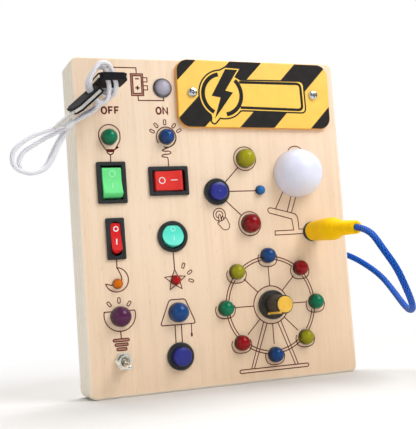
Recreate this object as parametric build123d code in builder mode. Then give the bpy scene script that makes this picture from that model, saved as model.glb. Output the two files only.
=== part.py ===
from build123d import *
import os
from math import cos, radians, sin, sqrt, tan

# A wooden busy board: a slim plywood box that stands on its lower edge, with switches, buttons,
# coloured lamps, a key switch, a knob and a plug on its face. Millimetres.
# +X is right, +Z up, the face looks along -Y, and the origin is mid lower edge, mid depth.

# ---- driving dimensions -------------------------------------------------------------------
W, H, T = 148.0, 171.0, 21.0            # box width, height, depth
CORNER = 4.0                            # radius of the four corners
PANEL = 5.0                             # thickness of the face ply
BACK = 4.0                              # thickness of the back ply
WALL = 7.0                              # thickness of the rim between them
EDGE = 1.4                              # rounding of the outer edges
FRONT = -T / 2                          # y of the face
REAR = T / 2

LED_FLANGE = 1.2                        # collar of a lamp, behind the face
TILT = 10.0                             # a rocker leans this far to either side
PIVOT, ROUND_PIVOT = -2.0, -0.5         # height of a rocker's pivot above the face
KEY_W, KEY_L, KEY_T = 14.2, 17.5, 3.4   # head of a key
BLADE_W, BLADE_L, BLADE_T = 4.4, 12.0, 1.4
WHITE, BLUE = 2.3, 3.3                  # diameters of the two cords

# places on the face, (x, z)
LOCK = (-57.0, 154.3)
GREY_LED = (-26.5, 155.0)
GREEN_LED, BLUE_LED = (-56.5, 129.3), (-26.3, 129.3)
GREEN_SWITCH, RED_SWITCH = (-56.6, 106.2), (-26.6, 106.4)
SLIM_SWITCH, ROUND_SWITCH = (-56.4, 78.0), (-26.6, 77.8)
ORANGE_LED, STAR_LED = (-56.8, 55.7), (-26.5, 55.6)
PURPLE_LED, SHADE_LED = (-56.4, 39.5), (-26.4, 39.3)
TOGGLE = (-56.4, 17.8)
LOW_BUTTON, MID_BUTTON = (-26.7, 17.3), (-0.7, 100.1)
YELLOW_LED, PRESS_LED, SMALL_LED = (16.8, 117.4), (17.0, 82.8), (24.1, 100.3)
DOME = (46.2, 108.8)
JACK = (53.0, 77.0)
WHEEL, WHEEL_R = (25.5, 39.4), 26.0
COVER, COVER_W, COVER_H, COVER_T, COVER_TURN = (24.9, 151.5), 88.4, 36.2, 2.5, -0.9
COVER_SCREWS = [(-11.1, 152.4), (59.2, 151.6)]
BACK_SCREWS = [(-70, 14), (70, 14), (-70, 85.5), (70, 85.5), (-70, 157), (70, 157), (0, 4), (0, 167)]
SUNK = 2.0                              # depth of the round seats that take the back screws' heads
TRAY = (25.0, 151.7)                    # battery tray, under the cover
TRAY_W, TRAY_H, TRAY_WALL = 52.0, 24.0, 1.2
BOARD, BOARD_W, BOARD_H = (-9.5, 70.0), 15.0, 34.0
GLAND_Z = 65.0                          # where the blue cord leaves the right side

os.makedirs("parts", exist_ok=True)


# ---- planes and shared shapes -------------------------------------------------------------
def at(spot, h=0.0):
    """Plane on the face at a spot, z outwards, h in front of the face."""
    return Plane(origin=(spot[0], FRONT - h, spot[1]), x_dir=(1, 0, 0), z_dir=(0, -1, 0))


def section(p):
    """Plane through a plane's own axis: x is the radius, y the height along the axis."""
    return Plane(origin=p.origin, x_dir=p.x_dir, z_dir=-p.y_dir)


def turned(p, *outline):
    """Turned piece about the axis of plane p, from an outline of (radius, height)."""
    with BuildPart() as piece:
        with BuildSketch(section(p)):
            with BuildLine():
                Polyline(*outline, close=True)
            make_face()
        revolve(axis=Axis(p.origin, p.z_dir))
    return piece.part


def lamp(spot, dia, top):
    """Domed lamp with its collar behind the face; top is the height of the dome."""
    r, deep = dia / 2, -PANEL
    p = at(spot)
    with BuildPart() as piece:
        with BuildSketch(section(p)):
            with BuildLine():
                Polyline((r, top - r), (r, deep), (r + 0.5, deep), (r + 0.5, deep - LED_FLANGE),
                         (0, deep - LED_FLANGE), (0, top))
                ThreePointArc((0, top), (r * sin(radians(45)), top - r + r * cos(radians(45))), (r, top - r))
            make_face()
        revolve(axis=Axis(p.origin, p.z_dir))
    return piece.part


def hex_nut(p, flats, bore, thick, low=0.0):
    """Hexagon nut on plane p, from height low up to low + thick."""
    with BuildPart() as piece:
        with BuildSketch(p.offset(low)):
            RegularPolygon(radius=flats / 2 / cos(radians(30)), side_count=6)
            Circle(bore / 2, mode=Mode.SUBTRACT)
        extrude(amount=thick)
    return piece.part


def pan_screw(p):
    """Pan head wood screw with a cross recess, seated on plane p."""
    with BuildPart() as piece:
        add(turned(p, (0, -7.2), (0.5, -7.2), (1.2, -6.2), (1.2, 0), (2.5, 0), (2.5, 0.8), (2.0, 1.5),
                   (1.0, 1.8), (0, 1.8)))
        with BuildSketch(p.offset(1.8)):
            Rectangle(3.0, 0.6)
            Rectangle(0.6, 3.0)
        extrude(amount=-0.9, mode=Mode.SUBTRACT)
    return piece.part


def bends(points):
    """Radius of the arc at each inner point: as large as its two runs allow."""
    radii = []
    for a, b, c in zip(points, points[1:], points[2:]):
        one, two = Vector(*b) - Vector(*a), Vector(*c) - Vector(*b)
        radii.append(0.45 * min(one.length, two.length) / tan(radians(one.get_angle(two)) / 2))
    return radii


def cord(points, dia):
    """Round cord along straight runs joined by tangent arcs."""
    radii = bends(points)
    with BuildPart() as piece:
        with BuildLine() as route:
            FilletPolyline(*points, radius=radii)
        with BuildSketch(Plane(origin=route.line @ 0, z_dir=route.line % 0)):
            Circle(dia / 2)
        sweep()
    length = sum(edge.length for edge in route.edges())
    print("cord dia", dia, "length", round(length, 1), "least radius", round(min(radii), 1),
          "volume / (section x length)", round(piece.part.volume / (3.14159265 * dia ** 2 / 4 * length), 4))
    print("  radii", [round(r, 1) for r in radii])
    return piece.part


def spread(count, start, radius, centre):
    """Spots around a circle on the face, clockwise from an angle above +X."""
    return [(centre[0] + radius * cos(radians(start - 360 / count * k)),
             centre[1] + radius * sin(radians(start - 360 / count * k))) for k in range(count)]


WHEEL_LEDS = spread(8, 90, WHEEL_R, WHEEL)
LAMPS = [(GREY_LED, 10), (GREEN_LED, 8), (BLUE_LED, 8), (ORANGE_LED, 5), (STAR_LED, 5), (PURPLE_LED, 10),
         (SHADE_LED, 10), (YELLOW_LED, 10), (PRESS_LED, 10), (SMALL_LED, 5), (DOME, 5)]
LAMPS += [(spot, 8) for spot in WHEEL_LEDS]

# ---- the box ------------------------------------------------------------------------------
with BuildPart() as front_panel:
    with BuildSketch(at((0, H / 2))):
        RectangleRounded(W, H, CORNER)
    extrude(amount=-PANEL)
    fillet(front_panel.faces().sort_by(Axis.Y)[0].edges(), EDGE)
    for spot, dia in LAMPS:
        with BuildSketch(at(spot)):
            Circle(dia / 2 + 0.1)
        extrude(amount=-PANEL, mode=Mode.SUBTRACT)
    for spot, dia in [(LOCK, 9.6), (TOGGLE, 6.2), (LOW_BUTTON, 12.0), (MID_BUTTON, 12.0), (JACK, 8.2),
                      (WHEEL, 7.2), (ROUND_SWITCH, 14.2), (COVER_SCREWS[0], 2.4), (COVER_SCREWS[1], 2.4)]:
        with BuildSketch(at(spot)):
            Circle(dia / 2)
        extrude(amount=-PANEL, mode=Mode.SUBTRACT)
    for spot, w, h in [(GREEN_SWITCH, 13.2, 19.4), (RED_SWITCH, 19.4, 13.2), (SLIM_SWITCH, 7.8, 19.4),
                       (TRAY, TRAY_W + 0.4, TRAY_H + 0.4)]:
        with BuildSketch(at(spot)):
            Rectangle(w, h)
        extrude(amount=-PANEL, mode=Mode.SUBTRACT)
    with BuildSketch(at(DOME)):                       # round seat of the lamp dome
        Circle(13.0)
    extrude(amount=-2.0, mode=Mode.SUBTRACT)
    with BuildSketch(at(BOARD, -PANEL)):              # blind screw holes for the circuit board
        with GridLocations(0, BOARD_H - 6, 1, 2):
            Circle(1.2)
    extrude(amount=3.4, mode=Mode.SUBTRACT)
front_panel.part.label = "front_panel"
export_step(front_panel.part, "parts/front_panel.step")

with BuildPart() as rim_frame:
    with BuildSketch(at((0, H / 2), -PANEL)):
        RectangleRounded(W, H, CORNER)
        RectangleRounded(W - 2 * WALL, H - 2 * WALL, 4.0, mode=Mode.SUBTRACT)
    extrude(amount=-(T - PANEL - BACK))
    with BuildSketch(Plane(origin=(W / 2, 0, GLAND_Z), x_dir=(0, 1, 0), z_dir=(1, 0, 0))):
        Circle(3.0)
    extrude(amount=-WALL, mode=Mode.SUBTRACT)
    for spot in BACK_SCREWS:
        with BuildSketch(at(spot, BACK - T)):
            Circle(1.2)
        extrude(amount=3.4 + SUNK, mode=Mode.SUBTRACT)
rim_frame.part.label = "rim_frame"
export_step(rim_frame.part, "parts/rim_frame.step")

with BuildPart() as back_panel:
    with BuildSketch(at((0, H / 2), BACK - T)):
        RectangleRounded(W, H, CORNER)
    extrude(amount=-BACK)
    fillet(back_panel.faces().sort_by(Axis.Y)[-1].edges(), 1.0)
    for spot in BACK_SCREWS:
        with BuildSketch(at(spot, BACK - T)):
            Circle(1.3)
        extrude(amount=-BACK, mode=Mode.SUBTRACT)
        with BuildSketch(at(spot, -T)):
            Circle(2.7)
        extrude(amount=SUNK, mode=Mode.SUBTRACT)
back_panel.part.label = "back_panel"
export_step(back_panel.part, "parts/back_panel.step")

# ---- battery compartment ------------------------------------------------------------------
with BuildPart() as cover_plate:
    with BuildSketch(at(COVER)):
        RectangleRounded(COVER_W, COVER_H, 6.5, rotation=COVER_TURN)
    extrude(amount=COVER_T)
    fillet(cover_plate.faces().sort_by(Axis.Y)[0].edges(), 0.7)
    for spot in COVER_SCREWS:
        with BuildSketch(at(spot)):
            Circle(1.3)
        extrude(amount=COVER_T, mode=Mode.SUBTRACT)
cover_plate.part.label = "cover_plate"
export_step(cover_plate.part, "parts/cover_plate.step")

with BuildPart() as pan_screws:                       # cover, back and circuit board screws, all alike
    for spot in COVER_SCREWS:
        add(pan_screw(at(spot, COVER_T)))
    for spot in BACK_SCREWS:
        add(pan_screw(Plane(origin=(spot[0], REAR - SUNK, spot[1]), x_dir=(1, 0, 0), z_dir=(0, 1, 0))))
    for dz in (-(BOARD_H - 6) / 2, (BOARD_H - 6) / 2):
        add(pan_screw(Plane(origin=(BOARD[0], FRONT + PANEL + 4.0, BOARD[1] + dz), x_dir=(1, 0, 0),
                            z_dir=(0, 1, 0))))
pan_screws.part.label = "pan_screws"
export_step(pan_screws.part, "parts/pan_screws.step")

with BuildPart() as battery_tray:
    with BuildSketch(at(TRAY)):
        Rectangle(TRAY_W, TRAY_H)
    extrude(amount=-13.5)
    with BuildSketch(at(TRAY, -PANEL)):               # glue flange behind the face
        with Locations((0, -1.0)):
            Rectangle(TRAY_W + 4, TRAY_H + 2)
    extrude(amount=-1.2)
    with BuildSketch(at(TRAY)):
        Rectangle(TRAY_W - 2 * TRAY_WALL, TRAY_H - 2 * TRAY_WALL)
    extrude(amount=-12.3, mode=Mode.SUBTRACT)
battery_tray.part.label = "battery_tray"
export_step(battery_tray.part, "parts/battery_tray.step")

CELL_R, CELL_Y = 5.15, -3.5
LEFT, RIGHT = TRAY[0] - TRAY_W / 2 + TRAY_WALL, TRAY[0] + TRAY_W / 2 - TRAY_WALL
CELL_ROWS = [(TRAY[1] + 5.3, 1), (TRAY[1] - 5.3, -1)]  # the two cells lie head to tail
with BuildPart() as battery_cells:
    for z, way in CELL_ROWS:
        tail = LEFT + 4.6 if way > 0 else RIGHT - 4.6
        p = Plane(origin=(tail, CELL_Y, z), x_dir=(0, 1, 0), z_dir=(way, 0, 0))
        add(turned(p, (0, 0), (CELL_R - 0.4, 0), (CELL_R, 0.4), (CELL_R, 43.1), (CELL_R - 0.4, 43.5), (1.9, 43.5),
                   (1.9, 44.5), (0, 44.5)))
battery_cells.part.label = "battery_cells"
export_step(battery_cells.part, "parts/battery_cells.step")

with BuildPart() as battery_contacts:                 # two flat plates, two with a conical spring
    for z, way in CELL_ROWS:
        spring_side = LEFT if way > 0 else RIGHT
        plate_side = RIGHT if way > 0 else LEFT
        for side, inward in ((spring_side, way), (plate_side, -way)):
            with BuildSketch(Plane(origin=(side, CELL_Y, z), x_dir=(0, 1, 0), z_dir=(inward, 0, 0))):
                Rectangle(8, 9)
            extrude(amount=0.5)
        p = Plane(origin=(spring_side + way * 0.5, CELL_Y, z), x_dir=(0, 1, 0), z_dir=(way, 0, 0))
        add(turned(p, (2.6, 0), (3.4, 0), (2.3, 4.1), (1.5, 4.1)))
battery_contacts.part.label = "battery_contacts"
export_step(battery_contacts.part, "parts/battery_contacts.step")

# ---- coloured lamps -----------------------------------------------------------------------
with BuildPart() as led_grey:                         # flat topped lamp, nearly flush
    with BuildSketch(section(at(GREY_LED))):
        with BuildLine():
            Polyline((5.0, 0.6), (5.0, -PANEL), (5.5, -PANEL), (5.5, -PANEL - LED_FLANGE),
                     (0, -PANEL - LED_FLANGE), (0, 2.6))
            ThreePointArc((0, 2.6), (2.69, 2.08), (5.0, 0.6))
        make_face()
    revolve(axis=Axis(at(GREY_LED).origin, (0, -1, 0)))
led_grey.part.label = "led_grey"
export_step(led_grey.part, "parts/led_grey.step")

SINGLE_LAMPS = [
    ("led_green", GREEN_LED, 8, 5.8), ("led_blue", BLUE_LED, 8, 5.8), ("led_orange", ORANGE_LED, 5, 3.6),
    ("led_star_red", STAR_LED, 5, 3.6), ("led_purple", PURPLE_LED, 10, 7.2), ("led_shade_blue", SHADE_LED, 10, 7.2),
    ("led_yellow", YELLOW_LED, 10, 7.2), ("led_press_red", PRESS_LED, 10, 7.2), ("led_small_blue", SMALL_LED, 5, 3.6),
    ("led_lamp", DOME, 5, 4.6)]
for name, spot, dia, top in SINGLE_LAMPS:
    with BuildPart() as single:
        add(lamp(spot, dia, top))
    single.part.label = name
    export_step(single.part, f"parts/{name}.step")

for k, colour in enumerate(("blue", "red", "green", "lime")):   # opposite lamps of the wheel are alike
    with BuildPart() as pair:
        add(lamp(WHEEL_LEDS[k], 8, 5.8))
        add(lamp(WHEEL_LEDS[k + 4], 8, 5.8))
    pair.part.label = f"wheel_leds_{colour}"
    export_step(pair.part, f"parts/wheel_leds_{colour}.step")

with BuildPart() as lamp_dome:                        # thin frosted shell over the small lamp
    R, SKIRT, SHELL = 12.9, 3.0, 1.0
    q = cos(radians(45))
    with BuildSketch(section(at(DOME))):
        with BuildLine():
            Line((R, -2), (R, SKIRT))
            ThreePointArc((R, SKIRT), (R * q, SKIRT + R * q), (0, SKIRT + R))
            Line((0, SKIRT + R), (0, SKIRT + R - SHELL))
            ThreePointArc((0, SKIRT + R - SHELL), ((R - SHELL) * q, SKIRT + (R - SHELL) * q), (R - SHELL, SKIRT))
            Polyline((R - SHELL, SKIRT), (R - SHELL, -2), (R, -2))
        make_face()
    revolve(axis=Axis(at(DOME).origin, (0, -1, 0)))
lamp_dome.part.label = "lamp_dome"
export_step(lamp_dome.part, "parts/lamp_dome.step")

# ---- rocker switches ----------------------------------------------------------------------
# On each switch plane, y points to the O end, which is the pressed one at rest.
GREEN_P, SLIM_P, ROUND_P = at(GREEN_SWITCH), at(SLIM_SWITCH), at(ROUND_SWITCH)
RED_P = Plane(origin=at(RED_SWITCH).origin, x_dir=(0, 0, 1), z_dir=(0, -1, 0))
STUB = 1.2                                            # radius of the pivot stubs


def stub_bore(p, reach, pivot=PIVOT):
    """Round bar that cuts the bores of the pivot stubs, through both side walls."""
    with BuildPart() as bar:
        with BuildSketch(Plane(origin=p.offset(pivot).origin, x_dir=p.y_dir, z_dir=p.x_dir)):
            Circle(STUB + 0.05)
        extrude(amount=reach, both=True)
    return bar.part


def rocker(p, width, reach, stub, pivot=PIVOT, trim=None, soft=0.45):
    """Rocker with a hollow face, leaning to its O end. Its ends are arcs about the pivot, so that they clear
    the housing; trim gives its outline from above."""
    s, c = sin(radians(TILT)), cos(radians(TILT))
    along, up = p.y_dir * c - p.z_dir * s, p.z_dir * c + p.y_dir * s
    base = Plane(origin=p.offset(pivot).origin, x_dir=along, z_dir=along.cross(up))
    floor, rise = -2.8, 1.6 - pivot                   # underside, and the pressed end's height at rest
    far = sqrt(reach ** 2 - rise ** 2)
    x_end, y_end = far * c - rise * s, far * s + rise * c
    x_low = sqrt(reach ** 2 - floor ** 2)
    with BuildPart() as piece:
        with BuildSketch(base) as profile:
            with BuildLine():
                Line((-x_low, floor), (x_low, floor))
                ThreePointArc((x_low, floor), (reach * cos(radians(5)), reach * sin(radians(5))), (x_end, y_end))
                ThreePointArc((x_end, y_end), (0, y_end - 0.17 * x_end), (-x_end, y_end))
                ThreePointArc((-x_end, y_end), (-reach * cos(radians(5)), reach * sin(radians(5))), (-x_low, floor))
            make_face()
        extrude(amount=width / 2, both=True)
        if trim:
            with BuildSketch(Plane(origin=base.origin, x_dir=along, z_dir=up)):
                trim()
            extrude(amount=9, both=True, mode=Mode.INTERSECT)
        top = piece.faces().sort_by(Axis(base.origin, up))[-1]
        if not trim:
            ridges = [e for e in top.edges() if abs(abs((e.center() - base.origin).dot(along)) - x_end) < 0.01]
            fillet(ridges, 2 * soft)
            sides = piece.faces().sort_by(Axis(base.origin, base.z_dir))
            fillet(sides[0].edges() + sides[-1].edges(), soft)
        else:
            fillet(top.edges(), soft)
        with BuildSketch(base):
            Circle(STUB)
        extrude(amount=stub, both=True)
    return piece.part


with BuildPart() as rocker_housings:                  # two alike, the red one lies on its side
    for p in (GREEN_P, RED_P):
        with BuildSketch(p):
            RectangleRounded(15, 21, 0.7)
        extrude(amount=1.8)
    rims = rocker_housings.faces().sort_by(Axis.Y)[:2]
    chamfer([edge for rim in rims for edge in rim.edges()], 0.6)
    for p in (GREEN_P, RED_P):
        with BuildSketch(p):
            Rectangle(12.8, 19)
        extrude(amount=-14)
    for p in (GREEN_P, RED_P):
        with BuildSketch(p.offset(1.8)):
            Rectangle(10.4, 17.2)
        extrude(amount=-13.8, mode=Mode.SUBTRACT)
        add(stub_bore(p, 6.6), mode=Mode.SUBTRACT)
    rims = rocker_housings.faces().sort_by(Axis.Y)[:2]
    chamfer([edge for rim in rims for edge in rim.inner_wires()[0].edges()], 0.5)
rocker_housings.part.label = "rocker_housings"
export_step(rocker_housings.part, "parts/rocker_housings.step")

with BuildPart() as housing_slim:
    with BuildSketch(SLIM_P):
        RectangleRounded(9.5, 20.8, 0.8)
    extrude(amount=1.8)
    chamfer(housing_slim.faces().sort_by(Axis.Y)[0].edges(), 0.6)
    with BuildSketch(SLIM_P):
        Rectangle(7.6, 19)
    extrude(amount=-14)
    with BuildSketch(SLIM_P.offset(1.8)):
        SlotOverall(17.2, 5.6, rotation=90)
    extrude(amount=-13.8, mode=Mode.SUBTRACT)
    add(stub_bore(SLIM_P, 4.0), mode=Mode.SUBTRACT)
housing_slim.part.label = "housing_slim"
export_step(housing_slim.part, "parts/housing_slim.step")

with BuildPart() as housing_round:
    add(turned(ROUND_P, (0, -14), (7.0, -14), (7.0, 0), (8.0, 0), (8.0, 1.1), (7.3, 1.8), (6.4, 1.8), (6.0, 1.4),
               (6.0, -12), (0, -12)))
    add(stub_bore(ROUND_P, 7.1, ROUND_PIVOT), mode=Mode.SUBTRACT)
housing_round.part.label = "housing_round"
export_step(housing_round.part, "parts/housing_round.step")

with BuildPart() as rocker_green:
    add(rocker(GREEN_P, 10.0, 8.0, 6.1))
rocker_green.part.label = "rocker_green"
export_step(rocker_green.part, "parts/rocker_green.step")

with BuildPart() as rocker_red:
    add(rocker(RED_P, 10.0, 8.0, 6.1))
rocker_red.part.label = "rocker_red"
export_step(rocker_red.part, "parts/rocker_red.step")

with BuildPart() as rocker_slim:
    add(rocker(SLIM_P, 5.2, 8.45, 3.6, trim=lambda: SlotOverall(15.6, 5.2)))
rocker_slim.part.label = "rocker_slim"
export_step(rocker_slim.part, "parts/rocker_slim.step")

with BuildPart() as rocker_round:
    add(rocker(ROUND_P, 11.4, 5.85, 6.7, ROUND_PIVOT, trim=lambda: Circle(5.55)))
rocker_round.part.label = "rocker_round"
export_step(rocker_round.part, "parts/rocker_round.step")

# ---- push buttons -------------------------------------------------------------------------
with BuildPart() as button_bezels:
    for spot in (MID_BUTTON, LOW_BUTTON):
        add(turned(at(spot), (0, -12), (5.9, -12), (5.9, 0), (7.0, 0), (7.0, 1.3), (6.3, 2.0), (4.75, 2.0),
                   (4.75, -7), (0, -7)))
button_bezels.part.label = "button_bezels"
export_step(button_bezels.part, "parts/button_bezels.step")

with BuildPart() as button_nuts:
    for spot in (MID_BUTTON, LOW_BUTTON):
        add(hex_nut(at(spot), 14, 11.8, 2.0, low=-PANEL - 2.0))
button_nuts.part.label = "button_nuts"
export_step(button_nuts.part, "parts/button_nuts.step")

for name, spot in (("button_cap_mid", MID_BUTTON), ("button_cap_low", LOW_BUTTON)):
    with BuildPart() as cap:
        add(turned(at(spot), (0, -3.8), (4.66, -3.8), (4.66, 4.5), (4.35, 5.05), (3.2, 5.4), (0, 5.5)))
    cap.part.label = name
    export_step(cap.part, f"parts/{name}.step")

# ---- toggle switch ------------------------------------------------------------------------
LEAN, BALL_H = 16.0, 2.0                              # rest lean of the lever, and height of its ball
with BuildPart() as toggle_body:
    with BuildSketch(at(TOGGLE, -PANEL)):
        Rectangle(8, 13)
    extrude(amount=-11)
    add(turned(at(TOGGLE), (0, 0.2), (0, -6), (3.0, -6), (3.0, 4.5), (2.35, 4.5), (1.65, 3.1), (1.97, 2.3),
               (1.97, 1.7), (1.5, 0.7), (0.9, 0.2)))
toggle_body.part.label = "toggle_body"
export_step(toggle_body.part, "parts/toggle_body.step")

with BuildPart() as toggle_nut:
    add(hex_nut(at(TOGGLE), 8, 6, 2.0))
toggle_nut.part.label = "toggle_nut"
export_step(toggle_nut.part, "parts/toggle_nut.step")

LEVER_P = Plane(origin=at(TOGGLE, BALL_H).origin, x_dir=(1, 0, 0),
                z_dir=(0, -cos(radians(LEAN)), -sin(radians(LEAN))))
with BuildPart() as toggle_lever:
    with BuildSketch(section(LEVER_P)):
        with BuildLine():
            Polyline((0, -1.7), (0.7, -1.55), (1.6, -0.6), (1.86, 0), (1.6, 0.9), (1.2, 1.4), (1.5, 9.4))
            ThreePointArc((1.5, 9.4), (1.5 * cos(radians(45)), 9.4 + 1.5 * sin(radians(45))), (0, 10.9))
            Line((0, 10.9), (0, -1.7))
        make_face()
    revolve(axis=Axis(LEVER_P.origin, LEVER_P.z_dir))
toggle_lever.part.label = "toggle_lever"
export_step(toggle_lever.part, "parts/toggle_lever.step")

# ---- dial in the wheel --------------------------------------------------------------------
POINTER = -127.0                                      # the pointer's direction from +X at rest
with BuildPart() as knob_cap:                         # coloured disc with the pointer down the side
    add(turned(at(WHEEL), (0, 16.0), (4.2, 16.0), (4.2, 17.3), (3.85, 17.6), (0, 17.7)))
    a = radians(POINTER)
    with BuildSketch(Plane(origin=at(WHEEL).origin, x_dir=(cos(a), 0, sin(a)), z_dir=(sin(a), 0, -cos(a)))):
        with BuildLine():
            Polyline((3.7, 16.2), (3.7, 17.4), (4.5, 17.4), (5.1, 16.7), (5.65, 4.3), (6.1, 4.0), (6.1, 3.2),
                     (4.9, 3.2), (4.4, 16.2), close=True)
        make_face()
    extrude(amount=0.65, both=True)
knob_cap.part.label = "knob_cap"
export_step(knob_cap.part, "parts/knob_cap.step")

with BuildPart() as knob_body:
    add(turned(at(WHEEL), (6.1, 0.6), (7.6, 0.6), (7.6, 2.9), (7.0, 3.5), (5.3, 3.9), (4.75, 16.6), (4.55, 17.0),
               (4.2, 17.0), (4.2, 16.0), (0, 16.0), (0, 12.0), (2.5, 12.0), (2.5, 2.6), (6.1, 2.6)))
    add(knob_cap.part, mode=Mode.SUBTRACT)
knob_body.part.label = "knob_body"
export_step(knob_body.part, "parts/knob_body.step")

with BuildPart() as pot_shaft:
    add(turned(at(WHEEL), (0, -8.8), (2.5, -8.8), (2.5, 12.0), (0, 12.0)))
pot_shaft.part.label = "pot_shaft"
export_step(pot_shaft.part, "parts/pot_shaft.step")

with BuildPart() as pot_body:
    add(turned(at(WHEEL), (0, -12), (8, -12), (8, -PANEL), (3.5, -PANEL), (3.5, 2.2), (2.55, 2.2), (2.55, -9),
               (0, -9)))
pot_body.part.label = "pot_body"
export_step(pot_body.part, "parts/pot_body.step")

with BuildPart() as pot_nut:
    add(hex_nut(at(WHEEL), 10, 7, 1.8))
pot_nut.part.label = "pot_nut"
export_step(pot_nut.part, "parts/pot_nut.step")

# ---- socket, plug and blue cord -----------------------------------------------------------
with BuildPart() as jack_body:
    add(turned(at(JACK), (0, -14), (0, -1), (1.0, -1), (1.0, -10.5), (2.8, -10.5), (2.8, 2.0), (4.0, 2.0),
               (4.0, -PANEL), (5.8, -PANEL), (5.8, -7), (4.5, -7), (4.5, -14)))
jack_body.part.label = "jack_body"
export_step(jack_body.part, "parts/jack_body.step")

with BuildPart() as jack_nut:
    add(turned(at(JACK), (4.0, 0), (5.3, 0), (5.3, 1.5), (4.9, 1.9), (4.0, 1.9)))
jack_nut.part.label = "jack_nut"
export_step(jack_nut.part, "parts/jack_nut.step")

with BuildPart() as plug_pin:
    add(turned(at(JACK), (1.05, -7.2), (2.75, -7.2), (2.75, 5.3), (0, 5.3), (0, 3), (1.05, 3)))
plug_pin.part.label = "plug_pin"
export_step(plug_pin.part, "parts/plug_pin.step")

PLUG_END = 47.5
with BuildPart() as plug_shell:
    add(turned(at(JACK), (2.75, 2.3), (5.0, 2.3), (5.2, 2.6), (5.6, 10), (6.0, 23), (5.8, 25.2), (4.2, 30.5), (3.9, 33),
               (3.5, 46), (3.1, PLUG_END), (0, PLUG_END), (0, 5.3), (2.75, 5.3)))
plug_shell.part.label = "plug_shell"
export_step(plug_shell.part, "parts/plug_shell.step")

BLUE_ROUTE = [(53, -58, 77), (53, -65.5, 77), (51.5, -73.5, 75.7), (49, -81, 71), (49.5, -87, 62.5),
              (53.5, -88.5, 54), (59.5, -85.5, 45), (67.5, -77.5, 37.5), (75, -67, 33), (81.5, -53.5, 32),
              (87, -39, 36), (91.5, -24.5, 42.5), (92.5, -12, 51), (86.5, -2.5, 59.5), (76.5, 0, 65), (66, 0, 65)]
with BuildPart() as blue_cord:
    add(cord(BLUE_ROUTE, BLUE))
blue_cord.part.label = "blue_cord"
export_step(blue_cord.part, "parts/blue_cord.step")

with BuildPart() as cord_gland:
    p = Plane(origin=(W / 2, 0, GLAND_Z), x_dir=(0, 1, 0), z_dir=(1, 0, 0))
    add(turned(p, (BLUE / 2, -WALL), (3.0, -WALL), (3.0, 0), (4.0, 0), (4.0, 1.0), (3.4, 1.5), (BLUE / 2 + 0.75, 1.5),
               (BLUE / 2, -3.5)))                     # the bore flares where the cord bends away
cord_gland.part.label = "cord_gland"
export_step(cord_gland.part, "parts/cord_gland.step")

# ---- key switch, its two keys and their cord ----------------------------------------------
with BuildPart() as lock_case:
    add(turned(at(LOCK), (0, -15), (4.7, -15), (4.7, 0), (5.4, 0), (5.4, 4.8), (5.0, 5.2), (3.85, 5.2), (3.85, -14),
               (0, -14)))
lock_case.part.label = "lock_case"
export_step(lock_case.part, "parts/lock_case.step")

with BuildPart() as lock_nut:
    add(hex_nut(at(LOCK), 13, 9.4, 2.5, low=-PANEL - 2.5))
lock_nut.part.label = "lock_nut"
export_step(lock_nut.part, "parts/lock_nut.step")

KEY_X = -1.1                                          # the keyway sits this far left of the lock's axis
with BuildPart() as lock_cylinder:
    add(turned(at(LOCK), (0, -13.6), (3.8, -13.6), (3.8, 6.0), (0, 6.0)))
    with BuildSketch(at(LOCK, 6.0)):
        with Locations((KEY_X, 0)):
            Rectangle(BLADE_W + 0.15, BLADE_T + 0.15)
    extrude(amount=-10.8, mode=Mode.SUBTRACT)
lock_cylinder.part.label = "lock_cylinder"
export_step(lock_cylinder.part, "parts/lock_cylinder.step")

# A key plane has its origin on the shoulder, x across the head, y to the head's end, z its thickness.
KEY_P = Plane(origin=(LOCK[0] - 1.8, FRONT - 8.0, LOCK[1]), x_dir=(1, 0, 0), z_dir=(0, 0, -1))
SPARE_P = Plane(origin=(-78.1, -27.5, 138.4), x_dir=(0.15, -0.97, -0.17), z_dir=(-0.634, -0.227, 0.733))
SLOT_Y = KEY_L - 4.0                                  # the cord's slot, near the head's end
BOW_END = KEY_L - 1.6                                 # the plastic closes over the bow's far end


def head_outline(low=0.0, high=KEY_L):
    """Head with cut corners and a slot for the cord, between two heights of it."""
    with BuildSketch() as outline:
        with BuildLine():
            Polyline((-4.2, 0), (4.2, 0), (7.1, 2.6), (7.1, 15.4), (5.0, KEY_L), (-5.0, KEY_L), (-7.1, 15.4),
                     (-7.1, 2.6), close=True)
        make_face()
        with Locations((0, SLOT_Y)):
            SlotOverall(7.6, 3.6, mode=Mode.SUBTRACT)
        with Locations((0, (low + high) / 2)):
            Rectangle(20, high - low, mode=Mode.INTERSECT)
    return outline.sketch


def blade_and_bow(p):
    """Metal of a key: notched blade and the flat bow inside the head."""
    x = LOCK[0] + KEY_X - KEY_P.origin.X              # the blade is off the head's middle
    w = BLADE_W / 2
    with BuildPart() as piece:
        with BuildSketch(p):
            with BuildLine():
                Polyline((x - w, 0.5), (x - w, -1.6), (x - w + 0.8, -2.6), (x - w + 0.2, -3.8), (x - w + 1.0, -5.0),
                         (x - w + 0.4, -6.2), (x - w + 1.1, -7.4), (x - w + 0.3, -8.6), (x - w + 0.9, -9.8),
                         (x - 0.6, -BLADE_L), (x + 0.6, -BLADE_L), (x + w, -BLADE_L + 1.8), (x + w, 0.5), close=True)
            make_face()
            add(head_outline(high=BOW_END))
        extrude(amount=BLADE_T / 2, both=True)
    return piece.part


def head_shells(p):
    """Plastic of a key's head: two cheeks either side of the bow, joined over its far end."""
    with BuildPart() as piece:
        with BuildSketch(p):
            add(head_outline(low=BOW_END))
        extrude(amount=BLADE_T / 2, both=True)
        for side in (1, -1):
            with BuildSketch(p.offset(side * BLADE_T / 2)):
                add(head_outline())
            extrude(amount=side * (KEY_T - BLADE_T) / 2)
    return piece.part


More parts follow.
